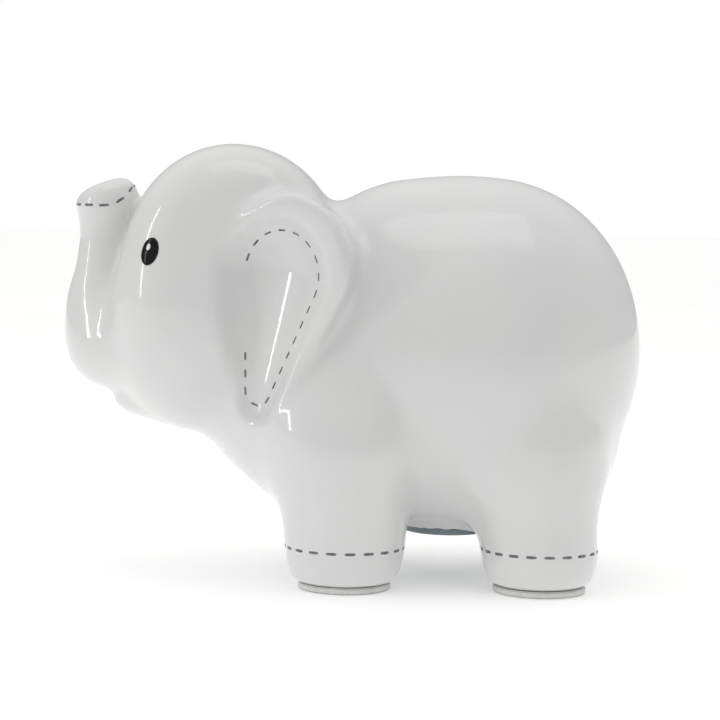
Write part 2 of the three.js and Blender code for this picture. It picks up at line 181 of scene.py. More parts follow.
# Studio, in metres. The room's light grows with height and towards the back, and the floor's glow
# towards the back.
ROOM_LIGHT = 0.41
CEILING_LIGHT = 0.82
CEILING_SPAN = (0.1, 0.9)
BACK_LIGHT = 1.25
BACK_SPAN = (-0.7, 0.6)
FLOOR_GLOW = 0.28
FLOOR_GLOW_SPAN = (-0.5, -0.1)
FLOOR_HALF = 6.0
LAMPS = {
    "strip_left": {
        "place": (-1.1, -0.4, 0.42),
        "target": (-0.03, 0, 0.1),
        "size": (0.06, 0.62),
        "watts": 1.3,
    },
    "overhead": {
        "place": (0.06, -0.15, 1.25),
        "target": (0.02, 0, 0.1),
        "size": (1.0, 0.6),
        "watts": 1.6,
    },
}
CAMERA = {"place": (0.0166, -0.850, 0.144), "yaw": 0.913, "pitch": -4.371, "roll": 0.965, "lens": 115.7}

GRID_STEP = 1.4
PLUG_GRID_STEP = 0.34


# ---- Distance formulas ----
def ellipsoid(p, centre, radii, power=2):
    """Distance to an ellipsoid. A power above 2 flattens its sides and leaves its outline seen along Y."""
    a, b, c = radii
    x, y, z = (p[..., axis] - centre[axis] for axis in range(3))
    round_part = np.maximum(np.hypot(x / a, z / c), 1e-6)
    side_part = np.abs(y) / b
    scaled = np.maximum(round_part**power + side_part**power, 1e-9) ** (1 / power)
    slope_round = round_part ** (power - 2) * np.hypot(x / a**2, z / c**2)
    slope = np.hypot(slope_round, side_part ** (power - 1) / b) * scaled ** (1 - power)
    return (scaled - 1) / np.maximum(slope, 1e-4)


def round_cone(p, a, b, radius_a, radius_b):
    """Distance to the hull of two balls, worked out in the plane through their axis."""
    a, b = (np.array(v, np.float32) for v in (a, b))
    length = float(np.linalg.norm(b - a))
    axis = (b - a) / length
    q = p - a
    along = q @ axis
    out = np.sqrt(np.maximum(np.sum(q * q, axis=-1) - along * along, 0))
    lean = (radius_a - radius_b) / length
    if lean >= 1:
        return np.hypot(out, along) - radius_a
    if lean <= -1:
        return np.hypot(out, along - length) - radius_b
    rise = math.sqrt(1 - lean * lean)
    place = along * rise - out * lean
    side = out * rise + along * lean - radius_a
    near_a = np.hypot(out, along) - radius_a
    near_b = np.hypot(out, along - length) - radius_b
    return np.where(place < 0, near_a, np.where(place > rise * length, near_b, side))


def melt(a, b, width):
    """Union with a fillet of the given width."""
    h = np.maximum(width - np.abs(a - b), 0) / width
    return np.minimum(a, b) - h * h * width / 4


def trim(a, b, width):
    """Intersection with a rounded edge of the given width."""
    return -melt(-a, -b, width)


def rounded_slab(outline, faces, edge):
    """A slab with rounded edges, from the distances to its outline and to its faces."""
    a = outline + edge
    b = faces + edge
    return np.hypot(np.maximum(a, 0), np.maximum(b, 0)) - edge + np.minimum(np.maximum(a, b), 0)


def along_drop(u, v, shape):
    """Places across and up a drop that stands at shape["centre"] and leans in its own plane."""
    lean = math.radians(shape["lean"])
    across, up = u - shape["centre"][0], v - shape["centre"][1]
    return across * math.cos(lean) + up * math.sin(lean), up * math.cos(lean) - across * math.sin(lean)


def drop(u, v, shape):
    """Distance to the outline of a drop: a large round end above and a small one below it."""
    across, up = along_drop(u, v, shape)
    top_radius, tip_radius, length = shape["top_radius"], shape["tip_radius"], shape["length"]
    lean = (top_radius - tip_radius) / length
    rise = math.sqrt(1 - lean * lean)
    side = np.abs(across)
    place = -up * rise - side * lean
    top = np.hypot(side, up) - top_radius
    tip = np.hypot(side, up + length) - tip_radius
    straight = side * rise - up * lean - top_radius
    return np.where(place < 0, top, np.where(place > rise * length, tip, straight))


def ear_axes():
    """The right ear's own axes: u to the rear, v up and w out of its face."""
    yaw = math.radians(EAR["yaw"])
    u = Vector((math.cos(yaw), math.sin(yaw), 0))
    w = Vector((-math.sin(yaw), math.cos(yaw), 0))
    v = Vector((0, 0, 1))
    tilt = Matrix.Rotation(math.radians(-EAR["tilt"]), 3, u)
    v, w = tilt @ v, tilt @ w
    lean = Matrix.Rotation(math.radians(-EAR["lean"]), 3, w)
    return [np.array(axis, np.float32) for axis in (lean @ u, lean @ v, w)]


EAR_AXES = ear_axes()


def ear_place(p):
    """Points as (u, v, w) of the ear on their own side."""
    side = p * np.array([1, 0, 1], np.float32)
    side[..., 1] = np.abs(p[..., 1])
    q = side - np.array(EAR["centre"], np.float32)
    return [q @ axis for axis in EAR_AXES]


def ear_slab(u, v, w):
    """Distance to the whole ear, before it is hollowed."""
    outline = drop(u + w * EAR["skew"], v - w * EAR["fall"], EAR_RIM) + w * EAR["draft"]
    half = EAR["thickness"] / 2
    return rounded_slab(outline, np.abs(w + half) - half, EAR["edge_round"])


def hollow_depth(u, v):
    """Depth of the ear's hollow: steep at its edge, and even near its middle line."""
    across, up = along_drop(u, v, EAR_HOLLOW)
    part_down = np.clip(-up / EAR_HOLLOW["length"], 0, 1)
    half_width = EAR_HOLLOW["top_radius"] * (1 - part_down) + EAR_HOLLOW["tip_radius"] * part_down
    inwards = np.clip(-drop(u, v, EAR_HOLLOW) / half_width, 0, 1)
    reached = 1 - (1 - inwards) ** HOLLOW_STEEPNESS
    return (HOLLOW_DEPTH * half_width - HOLLOW_SLOPE * across) * reached


def ear_hollow(u, v, w):
    """Distance to what is taken out of the ear's outer side."""
    return trim(drop(u, v, EAR_HOLLOW), -(w + hollow_depth(u, v)), EDGE["hollow_floor"])


def leg(p, x, top, ankle):
    """A pair of legs, one on each side, from their place and their radii above and below."""
    side = p.copy()
    side[..., 1] = np.abs(side[..., 1])
    return round_cone(side, (x, LEG_Y, LEG_TOP_Z), (x, LEG_Y, ANKLE_Z), top, ankle)


def trunk(p):
    """The raised trunk, cut off by a tilted plane at its tip."""
    pieces = [round_cone(p, a[0], b[0], a[1], b[1]) for a, b in zip(TRUNK, TRUNK[1:])]
    whole = melt(melt(pieces[0], pieces[1], FILLET["trunk_foot"]), pieces[2], FILLET["trunk_bend"])
    tilt = math.radians(TRUNK_TIP["tilt"])
    end = -(p[..., 0] - TRUNK_TIP["x"]) * math.sin(tilt) + (p[..., 2] - TRUNK_TIP["z"]) * math.cos(tilt)
    return trim(whole, end, EDGE["trunk_end"])


def hollow_part(p):
    """Body, head and legs, which are hollow inside."""
    d = ellipsoid(p, *BODY)
    for mass in (SHOULDER, CHEST, RUMP):
        d = melt(d, ellipsoid(p, *mass), FILLET["body"])
    d = melt(d, ellipsoid(p, *THROAT), FILLET["throat"])
    d = melt(d, leg(p, **FRONT_LEG), FILLET["front_leg"])
    d = melt(d, leg(p, **REAR_LEG), FILLET["rear_leg"])
    face = melt(ellipsoid(p, *HEAD), ellipsoid(p, *JAW), FILLET["jaw"])
    return melt(d, face, FILLET["head"])


def outside(p):
    """The animal's whole outside, before the slot and the belly hole."""
    d = melt(hollow_part(p), ellipsoid(p, *SNOUT), FILLET["snout"])
    d = melt(d, trunk(p), FILLET["trunk"])
    d = melt(d, ellipsoid(p, *LIP), FILLET["lip"])
    place = ear_place(p)
    d = melt(d, ear_slab(*place), FILLET["ear"])
    d = trim(d, -ear_hollow(*place), EDGE["hollow"])
    return trim(d, PAD_HEIGHT - p[..., 2], SOLE_ROUND)


def cavity(p):
    """The inside lies one wall behind the outside, also behind the ears' hollows."""
    d = trim(hollow_part(p) + WALL, WALL - ear_hollow(*ear_place(p)), EDGE["hollow"])
    return trim(d, PAD_HEIGHT + WALL - p[..., 2], EDGE["cavity_floor"])


def upright(p, radius):
    """Distance to an upright cylinder on the belly hole's axis."""
    return np.hypot(p[..., 0] - HOLE_X, p[..., 1]) - radius


def slot(p):
    """The coin slot: a round-ended opening through the back."""
    half = (SLOT_LENGTH - SLOT_WIDTH) / 2
    x = np.maximum(np.abs(p[..., 0] - HOLE_X) - half, 0)
    outline = np.hypot(x, p[..., 1]) - SLOT_WIDTH / 2
    return np.maximum(outline, SLOT_BOTTOM_Z - p[..., 2])


def shell(p):
    """The finished casting."""
    z = p[..., 2]
    boss = np.maximum(upright(p, BOSS_RADIUS), np.abs(z - SEAT_Z - BOSS_HALF) - BOSS_HALF)
    d = melt(outside(p), boss, FILLET["boss"])
    d = np.maximum(d, -cavity(p))
    seat = np.maximum(upright(p, SEAT_RADIUS), z - SEAT_Z)
    d = trim(d, -seat, EDGE["seat"])
    hole = np.maximum(upright(p, HOLE_RADIUS), z - SEAT_Z - HOLE_DEPTH)
    d = trim(d, -hole, EDGE["hole"])
    return trim(d, -slot(p), EDGE["slot"])


# ---- Turning a distance formula into a mesh ----
def sample(formula, axes):
    """The formula's values on a grid, worked out a few layers at a time to save memory."""
    values = np.empty([len(a) for a in axes], np.float32)
    y, z = np.meshgrid(axes[1], axes[2], indexing="ij")
    layers = 6
    for start in range(0, len(axes[0]), layers):
        xs = axes[0][start : start + layers]
        p = np.empty((len(xs),) + y.shape + (3,), np.float32)
        p[..., 0] = xs[:, None, None]
        p[..., 1] = y
        p[..., 2] = z
        values[start : start + layers] = formula(p)
    return values


def slope_of(formula, p):
    """The formula's slope, which points out of the surface."""
    step = 0.02
    slope = np.empty_like(p)
    for axis in range(3):
        shift = np.zeros(3, np.float32)
        shift[axis] = step
        slope[:, axis] = (formula(p + shift) - formula(p - shift)) / (2 * step)
    return slope


def settle(formula, p, rounds=4, longest=0.5):
    """Moves points along the formula's slope onto the surface."""
    for _ in range(rounds):
        slope = slope_of(formula, p)
        steepness = np.maximum(np.sum(slope * slope, axis=1), 0.2)
        move = np.clip(formula(p) / steepness, -longest, longest)
        p = p - slope * move[:, None]
    return p


def clear_doubtful_faces(values):
    """Where a grid face's opposite corners agree and its neighbours don't, one corner changes sides."""
    for _ in range(12):
        inside = values < 0
        changed = False
        for s, t in ((1, 2), (2, 0), (0, 1)):
            cut = [[slice(None)] * 3 for _ in range(4)]
            for corner, (ds, dt) in zip(cut, ((0, 0), (1, 0), (1, 1), (0, 1))):
                corner[s] = slice(1, None) if ds else slice(0, -1)
                corner[t] = slice(1, None) if dt else slice(0, -1)
            a, b, c, d = (inside[tuple(corner)] for corner in cut)
            doubtful = (a == c) & (b == d) & (a != b)
            for place in np.argwhere(doubtful):
                corners = []
                for ds, dt in ((0, 0), (1, 0), (1, 1), (0, 1)):
                    corner = place.copy()
                    corner[s] += ds
                    corner[t] += dt
                    corners.append(tuple(corner))
                nearest = min(corners, key=lambda corner: abs(values[corner]))
                values[nearest] = 0.01 if values[nearest] < 0 else -0.01
                changed = True
        if not changed:
            return


def surface(formula, low, high, step):
    """One vertex in each grid cell that the surface crosses, and one quad on each grid edge."""
    axes = [np.arange(a, b + step, step, dtype=np.float32) for a, b in zip(low, high)]
    values = sample(formula, axes)
    clear_doubtful_faces(values)
    inside = values < 0
    cells = tuple(n - 1 for n in values.shape)
    corners = [(a, b, c) for a in (0, 1) for b in (0, 1) for c in (0, 1)]
    count = np.zeros(cells, np.int8)
    for a, b, c in corners:
        count += inside[a : a + cells[0], b : b + cells[1], c : c + cells[2]]
    crossed = (count > 0) & (count < 8)
    place = np.argwhere(crossed)
    index = -np.ones(cells, np.int64)
    index[crossed] = np.arange(len(place))

    total = np.zeros((len(place), 3))
    hits = np.zeros(len(place))
    for corner in corners:
        for axis in range(3):
            if corner[axis]:
                continue
            following = list(corner)
            following[axis] = 1
            before = values[tuple((place + corner).T)]
            after = values[tuple((place + following).T)]
            cross = (before < 0) != (after < 0)
            t = np.where(cross, before / np.where(cross, before - after, 1), 0)
            point = np.repeat(np.array(corner, float)[None], len(place), axis=0)
            point[:, axis] += t
            total[cross] += point[cross]
            hits[cross] += 1
    origin = np.array([a[0] for a in axes])
    points = origin + (place + total / hits[:, None]) * step

    quads = []
    for axis in range(3):
        s, t = (axis + 1) % 3, (axis + 2) % 3
        lower = [slice(None)] * 3
        upper = [slice(None)] * 3
        lower[axis] = slice(0, -1)
        upper[axis] = slice(1, None)
        edges = np.argwhere(inside[tuple(lower)] != inside[tuple(upper)])
        from_inside = inside[tuple(edges.T)]
        ring = []
        for ds, dt in ((1, 1), (0, 1), (0, 0), (1, 0)):
            cell = edges.copy()
            cell[:, s] -= ds
            cell[:, t] -= dt
            ring.append(index[tuple(cell.T)])
        ring = np.stack(ring, axis=1)
        ring[~from_inside] = ring[~from_inside][:, ::-1]
        quads.append(ring)
    return points.astype(np.float32), np.concatenate(quads)


def relax(formula, points, quads, rounds=3):
    """Evens out the spacing of the vertices along the surface."""
    pairs = np.concatenate([quads[:, [i, (i + 1) % 4]] for i in range(4)])
    for _ in range(rounds):
        total = np.zeros_like(points)
        hits = np.zeros(len(points), np.float32)
        for a, b in ((0, 1), (1, 0)):
            np.add.at(total, pairs[:, a], points[pairs[:, b]])
            np.add.at(hits, pairs[:, a], 1)
        shift = 0.5 * (total / hits[:, None] - points)
        normal = slope_of(formula, points)
        normal /= np.maximum(np.linalg.norm(normal, axis=1, keepdims=True), 1e-6)
        shift -= normal * np.sum(shift * normal, axis=1, keepdims=True)
        points = settle(formula, points + shift, rounds=1)
    return points


def add_object(name, points, faces, materials, slots=None):
    """A smooth mesh object from points in millimetres."""
    mesh = bpy.data.meshes.new(name)
    mesh.from_pydata((np.asarray(points) * MM).tolist(), [], [list(map(int, face)) for face in faces])
    for material in materials:
        mesh.materials.append(material)
    if slots is not None:
        mesh.polygons.foreach_set("material_index", np.asarray(slots, np.int32))
    mesh.polygons.foreach_set("use_smooth", [True] * len(mesh.polygons))
    mesh.update()
    obj = bpy.data.objects.new(name, mesh)
    bpy.context.scene.collection.objects.link(obj)
    return obj


# ---- Materials ----
def graded(tree, value, ends, values):
    """A node that turns one span of a value smoothly into another."""
    grade = tree.nodes.new("ShaderNodeMapRange")
    grade.interpolation_type = "SMOOTHSTEP"
    for name, number in zip(("From Min", "From Max", "To Min", "To Max"), (*ends, *values)):
        grade.inputs[name].default_value = number
    tree.links.new(value, grade.inputs["Value"])
    return grade.outputs["Result"]


class Finish:
    """A principled material with procedural detail read in object space."""

    def __init__(self, name, roughness, ior=1.5, coat=0.0, coat_roughness=0.03):
        self.material = bpy.data.materials.new(name)
        self.material.use_nodes = True
        self.nodes = self.material.node_tree.nodes
        self.links = self.material.node_tree.links
        self.shader = self.nodes["Principled BSDF"]
        self.shader.inputs["Roughness"].default_value = roughness
        self.shader.inputs["IOR"].default_value = ior
        self.shader.inputs["Coat Weight"].default_value = coat
        self.shader.inputs["Coat Roughness"].default_value = coat_roughness
        self.place = self.nodes.new("ShaderNodeTexCoord").outputs["Object"]

    def noise(self, per_metre, detail=2.0, stretch=None):
        """Noise with a number of lumps per metre, which may be drawn out along one axis."""
        place = self.place
        if stretch:
            mapping = self.nodes.new("ShaderNodeMapping")
            mapping.inputs["Scale"].default_value = stretch
            self.links.new(place, mapping.inputs["Vector"])
            place = mapping.outputs["Vector"]
        texture = self.nodes.new("ShaderNodeTexNoise")
        texture.inputs["Scale"].default_value = per_metre
        texture.inputs["Detail"].default_value = detail
        self.links.new(place, texture.inputs["Vector"])
        return texture.outputs["Fac"]

    def cells(self, per_metre):
        """Distance to the nearest of scattered points."""
        texture = self.nodes.new("ShaderNodeTexVoronoi")
        texture.inputs["Scale"].default_value = per_metre
        self.links.new(self.place, texture.inputs["Vector"])
        return texture.outputs["Distance"]

    def ramp(self, value, stops):
        """Turns a value into a colour. Stops are (position, colour)."""
        ramp = self.nodes.new("ShaderNodeValToRGB")
        elements = ramp.color_ramp.elements
        while len(elements) < len(stops):
            elements.new(0.5)
        for element, (position, color) in zip(elements, stops):
            element.position = position
            element.color = (*color, 1)
        self.links.new(value, ramp.inputs["Fac"])
        return ramp.outputs["Color"]

    def multiply(self, a, b):
        """One colour tinted by another."""
        mix = self.nodes.new("ShaderNodeMix")
        mix.data_type = "RGBA"
        mix.blend_type = "MULTIPLY"
        mix.inputs["Factor"].default_value = 1
        color_inputs = [socket for socket in mix.inputs if socket.type == "RGBA"]
        self.links.new(a, color_inputs[0])
        self.links.new(b, color_inputs[1])
        return next(socket for socket in mix.outputs if socket.type == "RGBA")

    def color(self, value):
        """Gives the surface its colour."""
        self.links.new(value, self.shader.inputs["Base Color"])

    def bump(self, value, height, strength=1.0, coat=False):
        """Relief whose full height is given in metres."""
        bump = self.nodes.new("ShaderNodeBump")
        bump.inputs["Distance"].default_value = height
        bump.inputs["Strength"].default_value = strength
        self.links.new(value, bump.inputs["Height"])
        self.links.new(bump.outputs["Normal"], self.shader.inputs["Normal"])
        if coat:
            self.links.new(bump.outputs["Normal"], self.shader.inputs["Coat Normal"])


def glaze_material():
    """Clear glaze over white clay: faint cloudiness, a few pinholes and a softly uneven gloss."""
    finish = Finish("white_glaze", 0.34, coat=0.8)
    clouds = finish.ramp(
        finish.noise(22, 3), [(0.3, (0.725, 0.728, 0.732)), (0.7, (0.757, 0.757, 0.75))]
    )
    specks = finish.ramp(
        finish.cells(190), [(0.0, (0.80, 0.78, 0.74)), (0.045, (0.97, 0.965, 0.96)), (0.09, (1, 1, 1))]
    )
    finish.color(finish.multiply(clouds, specks))
    finish.bump(finish.noise(38, 1), 0.00035, 0.5, coat=True)
    return finish.material


def bisque_material():
    """Unglazed clay, seen inside and on the soles."""
    finish = Finish("bisque", 0.85)
    clay = finish.ramp(finish.noise(60, 5), [(0.3, (0.70, 0.66, 0.60)), (0.7, (0.80, 0.77, 0.71))])
    grains = finish.ramp(finish.cells(900), [(0.05, (0.82, 0.80, 0.77)), (0.2, (1, 1, 1))])
    finish.color(finish.multiply(clay, grains))
    finish.bump(finish.noise(1200, 4), 0.0001)
    return finish.material


def enamel_material(name, thin, thick, roughness):
    """Fired paint, a little uneven from the brush: thin and thick are its colours. The white one is a
    painted highlight in the eyes.
    """
    finish = Finish(name, roughness, ior=1.22, coat=0.05, coat_roughness=0.05)
    finish.color(finish.ramp(finish.noise(700, 3, stretch=(1, 1, 0.35)), [(0.35, thin), (0.65, thick)]))
    finish.bump(finish.noise(900, 2), 0.00004)
    return finish.material


def plug_material():
    """Moulded soft vinyl."""
    finish = Finish("soft_plug", 0.42, ior=1.46)
    tone = finish.ramp(finish.noise(120, 4), [(0.3, (0.215, 0.255, 0.285)), (0.7, (0.27, 0.31, 0.34))])
    dust = finish.ramp(finish.cells(1500), [(0.04, (1.12, 1.12, 1.1)), (0.1, (1, 1, 1))])
    finish.color(finish.multiply(tone, dust))
    finish.bump(finish.noise(2200, 3), 0.00003)
    return finish.material


def pad_material():
    """Fine foam."""
    finish = Finish("foot_pad", 0.92, ior=1.4)
    tone = finish.ramp(finish.noise(300, 4), [(0.3, (0.74, 0.74, 0.73)), (0.7, (0.82, 0.82, 0.81))])
    pores = finish.ramp(finish.cells(1700), [(0.1, (0.84, 0.84, 0.84)), (0.45, (1, 1, 1))])
    finish.color(finish.multiply(tone, pores))
    finish.bump(finish.cells(1700), 0.0002)
    return finish.material


def floor_material():
    """A white table, lit through from below under the object and behind it, so that it reads as white."""
    finish = Finish("floor", 0.75)
    finish.color(finish.ramp(finish.noise(3, 2), [(0.3, (0.87, 0.87, 0.87)), (0.7, (0.89, 0.89, 0.89))]))
    finish.shader.inputs["Specular IOR Level"].default_value = 0.2
    finish.shader.inputs["Emission Color"].default_value = (1, 1, 1, 1)
    place = finish.nodes.new("ShaderNodeSeparateXYZ")
    finish.links.new(finish.place, place.inputs["Vector"])
    glow = graded(finish.material.node_tree, place.outputs["Y"], FLOOR_GLOW_SPAN, (0, FLOOR_GLOW))
    finish.links.new(glow, finish.shader.inputs["Emission Strength"])
    return finish.material


# ---- The casting ----
def build_shell():
    points, quads = surface(shell, BOX_LOW, BOX_HIGH, GRID_STEP)
    points = settle(shell, points)
    points = relax(shell, points, quads)
    middles = points[quads].mean(axis=1)
    deep = outside(middles) < -GLAZE_DEPTH
    sole = middles[:, 2] < PAD_HEIGHT + SOLE_MARGIN
    slots = (deep | sole).astype(int)
    obj = add_object("glazed_casting", points, quads, [glaze_material(), bisque_material()], slots)
    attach(obj, "bank")
    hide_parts("ceramic_shell")


# ---- Paint: thin closed patches that lie on the casting ----
def unit(vectors):
    return vectors / np.maximum(np.linalg.norm(vectors, axis=-1, keepdims=True), 1e-9)


def on_surface(places):
    """The casting's points nearest to some places, and its outward normals there."""
    points = settle(outside, np.array(places, np.float32), rounds=6, longest=3.0)
    return points, unit(slope_of(outside, points))


def patches(places, directions, half_length, half_width, height, square=2.0, rings=4, spokes=28):
    """Domed marks pressed onto the casting, as points and faces. A larger square fills their corners."""
    centres, normals = on_surface(places)
    along = np.array(directions, np.float32)
    along = unit(along - normals * np.sum(along * normals, axis=1, keepdims=True))
    across = np.cross(normals, along)
    angles = 2 * math.pi * np.arange(spokes) / spokes
    c, s = np.cos(angles), np.sin(angles)
    reach = (np.abs(c) ** square + np.abs(s) ** square) ** (-1 / square)
    part = np.concatenate([[0], np.repeat(np.arange(1, rings + 1) / rings, spokes)])
    ahead = part * np.concatenate([[0], np.tile(c * reach, rings)]) * half_length
    aside = part * np.concatenate([[0], np.tile(s * reach, rings)]) * half_width
    flat = centres[:, None] + along[:, None] * ahead[:, None] + across[:, None] * aside[:, None]
    count = len(part)
    points, slopes = on_surface(flat.reshape(-1, 3))
    points, slopes = points.reshape(-1, count, 3), slopes.reshape(-1, count, 3)
    rise = height * np.sqrt(1 - PAINT_DOME * part**2)
    layers = np.concatenate([points + slopes * rise[:, None], points - slopes * PAINT_ROOT], axis=1)

    top, under = [], []
    for spoke in range(spokes):
        following = (spoke + 1) % spokes
        top.append((0, 1 + spoke, 1 + following))
        for ring in range(rings - 1):
            a, b = 1 + ring * spokes, 1 + (ring + 1) * spokes
            top.append((a + spoke, b + spoke, b + following, a + following))
        a, b = 1 + (rings - 1) * spokes + spoke, 1 + (rings - 1) * spokes + following
        under.append((a, count + a, count + b, b))
    under += [tuple(count + i for i in face[::-1]) for face in top]
    one = top + under
    faces = [tuple(2 * count * k + i for i in face) for k in range(len(centres)) for face in one]
    return layers.reshape(-1, 3), faces


def ear_point(u, v, side):
    """A point on the ear's face, from its place in the ear's plane."""
    depth = float(hollow_depth(np.float32(u), np.float32(v)))
    p = np.array(EAR["centre"], np.float32) + u * EAR_AXES[0] + v * EAR_AXES[1] - depth * EAR_AXES[2]
    return p * np.array([1, side, 1], np.float32)


def ear_dash_path(side):
    """Evenly spaced places round the dashed drop, except along the upper front where there are none."""
    shape = EAR_DASHES
    lean = math.radians(shape["lean"])
    top, tip, length = shape["top_radius"], shape["tip_radius"], shape["length"]
    turn = math.acos(-(top - tip) / length)
    angles = np.linspace(-turn, turn, 60)
    outline = [(top * math.sin(a), top * math.cos(a)) for a in angles]
    angles = np.linspace(turn, 2 * math.pi - turn, 30)
    outline += [(tip * math.sin(a), tip * math.cos(a) - length) for a in angles]
    start = np.array(outline[0])
    outline.append(tuple(start * EAR_DASH_CLOSE + np.array(outline[-1]) * (1 - EAR_DASH_CLOSE)))
    outline = np.array(outline)
    steps = np.concatenate([[0], np.cumsum(np.linalg.norm(np.diff(outline, axis=0), axis=1))])
    path = []
    for reach in np.linspace(EAR_DASH_START * steps[-1], steps[-1], EAR_DASH_COUNT):
        placed = []
        for shift in (-1.0, 0, 1.0):
            across, up = (np.interp(reach + shift, steps, outline[:, axis]) for axis in (0, 1))
            u = shape["centre"][0] + across * math.cos(lean) - up * math.sin(lean)
            v = shape["centre"][1] + across * math.sin(lean) + up * math.cos(lean)
            placed.append(ear_point(u, v, side))
        path.append((placed[1], placed[2] - placed[0]))
    return path


def ankle_dash_path(x, y, radius):
    """Level dashes round a leg just above its foot."""
    path = []
    for i in range(ANKLE_DASH_COUNT):
        angle = 2 * math.pi * (i + ANKLE_DASH_TURN) / ANKLE_DASH_COUNT
        c, s = math.cos(angle), math.sin(angle)
        path.append(((x + radius * c, y + radius * s, ANKLE_DASH_Z), (-s, c, 0)))
    return path


def trunk_dash_path():
    """Dashes round the trunk below its flat end, level in front and rising towards the forehead."""
    radius = TRUNK[-1][1]
    places = []
    for i in range(2 * TRUNK_DASH_COUNT):
        angle = math.pi * i / TRUNK_DASH_COUNT
        rise = TRUNK_DASH_RISE * max(math.cos(angle), 0) ** TRUNK_DASH_BEND
        x = TRUNK_TIP["x"] + radius * math.cos(angle)
        places.append((x, radius * math.sin(angle), TRUNK_DASH_Z + rise))
    places = np.array(places)
    ahead, behind = np.roll(places, -1, axis=0), np.roll(places, 1, axis=0)
    return list(zip(places[::2], (ahead - behind)[::2]))


def add_paint(name, path, sizes, material, **shape):
    """Paints one mark at each place of a path given as (place, direction)."""
    places, directions = zip(*path)
    obj = add_object(name, *patches(places, directions, *sizes, **shape), [material])
    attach(obj, "bank")


def build_paint():
    """Dashes on trunk, ears and ankles, and two eyes, each with a white painted highlight on it."""
    grey = enamel_material("grey_enamel", (0.24, 0.24, 0.25), (0.12, 0.12, 0.13), 0.3)
    black = enamel_material("black_enamel", (0.016, 0.014, 0.014), (0.008, 0.008, 0.009), 0.12)
    # White paint for the painted highlights in the eyes, which stand in for the reflection of light.
    white = enamel_material("white_highlight_paint", (0.80, 0.80, 0.80), (0.88, 0.88, 0.88), 0.2)
    ears, ankles, eyes, painted_highlights = [], [], [], []
    lean = math.radians(EYE["lean"])
    up = np.array([math.sin(lean), 0, math.cos(lean)])
    for side in (-1, 1):
        ears += ear_dash_path(side)
        for leg_shape in (FRONT_LEG, REAR_LEG):
            ankles += ankle_dash_path(leg_shape["x"], side * LEG_Y, leg_shape["ankle"])
        eye = np.array([EYE["x"], side * EYE["y"], EYE["z"]])
        eyes.append((eye, up))
        painted_highlights.append((eye + up * EYE["highlight_up"] + np.array([EYE["highlight_forward"], 0, 0]), up))
    dash = {"square": 3.5, "rings": 3, "spokes": 20}
    add_paint("trunk_dashes", trunk_dash_path(), TRUNK_DASH, grey, **dash)
    add_paint("ear_dashes", ears, EAR_DASH, grey, **dash)
    add_paint("ankle_dashes", ankles, ANKLE_DASH, grey, **dash)
    add_paint("painted_eyes", eyes, EYE["size"], black, rings=9, spokes=48)
    # The eyes' white marks are painted highlights, not a colour of the glaze.
    add_paint("painted_eye_highlights", painted_highlights, EYE["highlight_size"], white, rings=5)


# ---- The belly plug and the foot pads ----
def turned(outline, segments=96):
    """Points and faces of a closed turned body. Its outline runs from axis to axis as (radius, height)."""
    points, faces = [], []
    starts = []
    for radius, height in outline:
        starts.append(len(points))
        count = 1 if radius < 1e-6 else segments
        for i in range(count):
            angle = 2 * math.pi * i / segments
            points.append((radius * math.cos(angle), radius * math.sin(angle), height))
    for k in range(len(outline) - 1):
        a, b = starts[k], starts[k + 1]
        one_a, one_b = outline[k][0] < 1e-6, outline[k + 1][0] < 1e-6
        for i in range(segments):
            j = (i + 1) % segments
            if one_a:
                faces.append((a, b + j, b + i))
            elif one_b:
                faces.append((a + i, a + j, b))
            else:
                faces.append((a + i, a + j, b + j, b + i))
    return np.array(points, np.float32), faces


def rounded(corners, steps=5):
    """An outline whose corners, given as (radius, height, rounding), are turned into arcs."""
    outline = []
    for i, (x, z, rounding) in enumerate(corners):
        here = np.array([x, z], float)
        if rounding == 0 or i in (0, len(corners) - 1):
            outline.append((x, z))
            continue
        before = np.array(corners[i - 1][:2], float) - here
        after = np.array(corners[i + 1][:2], float) - here
        a = here + before / np.linalg.norm(before) * rounding
        b = here + after / np.linalg.norm(after) * rounding
        for t in np.linspace(0, 1, steps + 1):
            point = (1 - t) ** 2 * a + 2 * t * (1 - t) * here + t * t * b
            outline.append((float(point[0]), float(point[1])))
    return outline


def belly_plug_distance(p):
    """The plug: a ribbed cup, a flange that closes on the seat, and a bar across the recess in it."""
    r = np.hypot(p[..., 0] - HOLE_X, p[..., 1])
    z = p[..., 2]
    bottom = SEAT_Z - FLANGE_HEIGHT
    flange = rounded_slab(r - FLANGE_RADIUS, np.abs(z - (bottom + SEAT_Z) / 2) - FLANGE_HEIGHT / 2, 0.7)
    above = z - SEAT_Z
    rib = RIB_HEIGHT * np.cos(2 * math.pi * above / RIB_PITCH) - 0.08
    near_top = np.clip((above - PLUG_LENGTH + LEAD_IN["length"]) / LEAD_IN["length"], 0, 1)
    side = r - PLUG_RADIUS - rib + LEAD_IN["depth"] * near_top**2
    cup = rounded_slab(side, np.abs(above - PLUG_LENGTH / 2) - PLUG_LENGTH / 2, 0.5)
    room = np.maximum(r - (PLUG_RADIUS - PLUG_WALL), CUP_FLOOR - above)
    cup = trim(cup, -room, 0.8)
    d = melt(flange, cup, 0.8)
    recess = rounded_slab(r - PULL_RADIUS, z - bottom - PULL_DEPTH, 0.4)
    bar = np.abs(p[..., 1]) - PULL_BAR / 2
    return trim(d, -trim(recess, -bar, 0.5), 0.5)


def build_plug():
    reach = FLANGE_RADIUS + 1.2
    low = (HOLE_X - reach, -reach, SEAT_Z - FLANGE_HEIGHT - 1)
    high = (HOLE_X + reach, reach, SEAT_Z + PLUG_LENGTH + 1)
    points, quads = surface(belly_plug_distance, low, high, PLUG_GRID_STEP)
    points = settle(belly_plug_distance, points, longest=0.15)
    obj = add_object("ribbed_plug", points, quads, [plug_material()])
    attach(obj, "stopper")
    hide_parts("belly_stopper")


